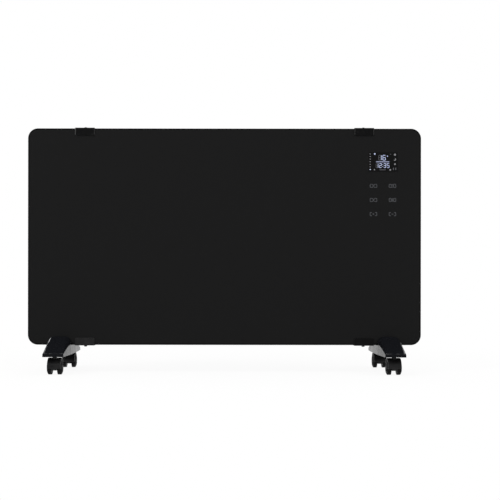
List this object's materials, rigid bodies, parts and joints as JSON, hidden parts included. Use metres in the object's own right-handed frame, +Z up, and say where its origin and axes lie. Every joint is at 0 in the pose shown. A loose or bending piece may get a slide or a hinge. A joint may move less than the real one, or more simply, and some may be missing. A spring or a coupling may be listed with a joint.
{
  "type": "glass panel heater",
  "caption": "Free-standing convector heater with a black tempered-glass front, a lit touch display, a vented steel case and moulded legs on hooded swivel castors.",
  "frame": {"origin": "on the floor, under the middle of the heater", "axes": "+X to the right along the glass as seen from the front, +Y to the back, +Z up"},
  "size_m": [0.83, 0.2402, 0.519],
  "materials": {
    "black_glass": "polished black back-painted tempered glass",
    "clip_steel": "satin black",
    "case_steel": "fine-textured black powder coat",
    "leg_plastic": "gloss black",
    "hood_plastic": "satin black",
    "wheel_plastic": "satin black",
    "bright_steel": "zinc plated",
    "black_screws": "black zinc",
    "silicone": "matt",
    "aluminium_sheet": "mill finish",
    "white_ceramic": "unglazed",
    "circuit_board": "solder mask",
    "display_plastic": "smooth",
    "black_plastic": "moulded",
    "rocker_plastic": "smooth",
    "relay_plastic": "moulded",
    "white_plastic": "moulded",
    "wire_sheath": "silicone sheath"
  },
  "bodies": {
    "heater": {"glass_panel": "black_glass", "clip_top_left": "clip_steel", "clip_top_right": "clip_steel", "clip_bottom_left": "clip_steel", "clip_bottom_right": "clip_steel", "front_plate": "case_steel", "case_back": "case_steel", "case_side_left": "case_steel", "case_side_right": "case_steel", "case_bottom": "case_steel", "top_cover": "case_steel", "leg_left": "leg_plastic", "leg_right": "leg_plastic", "weld_nuts": "bright_steel", "element_bracket_left": "bright_steel", "element_bracket_right": "bright_steel", "heating_rods": "bright_steel", "thermal_cutout": "bright_steel", "clip_screws": "black_screws", "leg_screws": "black_screws", "case_screws": "black_screws", "glass_pads": "silicone", "clip_pads": "silicone", "touch_pads": "silicone", "heating_fins": "aluminium_sheet", "heat_reflector": "aluminium_sheet", "element_insulators": "white_ceramic", "display_board": "circuit_board", "power_board": "circuit_board", "display_module": "display_plastic", "switch_body": "black_plastic", "cord_gland": "black_plastic", "tilt_switch": "black_plastic", "room_sensor": "black_plastic", "relays": "relay_plastic", "terminal_block": "white_plastic", "board_standoffs": "white_plastic", "internal_wires": "wire_sheath"},
    "castor_front_left": {"castor_hood_front_left": "hood_plastic", "castor_stem_front_left": "bright_steel", "castor_axle_front_left": "bright_steel"},
    "wheel_front_left_outer": {"castor_wheel_front_left_outer": "wheel_plastic"},
    "wheel_front_left_inner": {"castor_wheel_front_left_inner": "wheel_plastic"},
    "castor_front_right": {"castor_hood_front_right": "hood_plastic", "castor_stem_front_right": "bright_steel", "castor_axle_front_right": "bright_steel"},
    "wheel_front_right_outer": {"castor_wheel_front_right_outer": "wheel_plastic"},
    "wheel_front_right_inner": {"castor_wheel_front_right_inner": "wheel_plastic"},
    "castor_rear_left": {"castor_hood_rear_left": "hood_plastic", "castor_stem_rear_left": "bright_steel", "castor_axle_rear_left": "bright_steel"},
    "wheel_rear_left_outer": {"castor_wheel_rear_left_outer": "wheel_plastic"},
    "wheel_rear_left_inner": {"castor_wheel_rear_left_inner": "wheel_plastic"},
    "castor_rear_right": {"castor_hood_rear_right": "hood_plastic", "castor_stem_rear_right": "bright_steel", "castor_axle_rear_right": "bright_steel"},
    "wheel_rear_right_outer": {"castor_wheel_rear_right_outer": "wheel_plastic"},
    "wheel_rear_right_inner": {"castor_wheel_rear_right_inner": "wheel_plastic"},
    "power_rocker": {"switch_rocker": "rocker_plastic"}
  },
  "joints": [
    {"name": "swivel_front_left", "type": "hinge", "parent": "heater", "child": "castor_front_left", "pos_m": [-0.347, -0.096, 0.0374], "axis": [0, 0, 1], "continuous": true},
    {"name": "roll_front_left_outer", "type": "hinge", "parent": "castor_front_left", "child": "wheel_front_left_outer", "pos_m": [-0.347, -0.091, 0.0155], "axis": [1, 0, 0], "continuous": true},
    {"name": "roll_front_left_inner", "type": "hinge", "parent": "castor_front_left", "child": "wheel_front_left_inner", "pos_m": [-0.347, -0.091, 0.0155], "axis": [1, 0, 0], "continuous": true},
    {"name": "swivel_front_right", "type": "hinge", "parent": "heater", "child": "castor_front_right", "pos_m": [0.347, -0.096, 0.0374], "axis": [0, 0, 1], "continuous": true},
    {"name": "roll_front_right_outer", "type": "hinge", "parent": "castor_front_right", "child": "wheel_front_right_outer", "pos_m": [0.347, -0.091, 0.0155], "axis": [1, 0, 0], "continuous": true},
    {"name": "roll_front_right_inner", "type": "hinge", "parent": "castor_front_right", "child": "wheel_front_right_inner", "pos_m": [0.347, -0.091, 0.0155], "axis": [1, 0, 0], "continuous": true},
    {"name": "swivel_rear_left", "type": "hinge", "parent": "heater", "child": "castor_rear_left", "pos_m": [-0.347, 0.096, 0.0374], "axis": [0, 0, 1], "continuous": true},
    {"name": "roll_rear_left_outer", "type": "hinge", "parent": "castor_rear_left", "child": "wheel_rear_left_outer", "pos_m": [-0.347, 0.101, 0.0155], "axis": [1, 0, 0], "continuous": true},
    {"name": "roll_rear_left_inner", "type": "hinge", "parent": "castor_rear_left", "child": "wheel_rear_left_inner", "pos_m": [-0.347, 0.101, 0.0155], "axis": [1, 0, 0], "continuous": true},
    {"name": "swivel_rear_right", "type": "hinge", "parent": "heater", "child": "castor_rear_right", "pos_m": [0.347, 0.096, 0.0374], "axis": [0, 0, 1], "continuous": true},
    {"name": "roll_rear_right_outer", "type": "hinge", "parent": "castor_rear_right", "child": "wheel_rear_right_outer", "pos_m": [0.347, 0.101, 0.0155], "axis": [1, 0, 0], "continuous": true},
    {"name": "roll_rear_right_inner", "type": "hinge", "parent": "castor_rear_right", "child": "wheel_rear_right_inner", "pos_m": [0.347, 0.101, 0.0155], "axis": [1, 0, 0], "continuous": true},
    {"name": "power_rock", "type": "hinge", "parent": "heater", "child": "power_rocker", "pos_m": [0.384, 0.004, 0.207], "axis": [0, 1, 0], "range_deg": [-16, 0]}
  ]
}
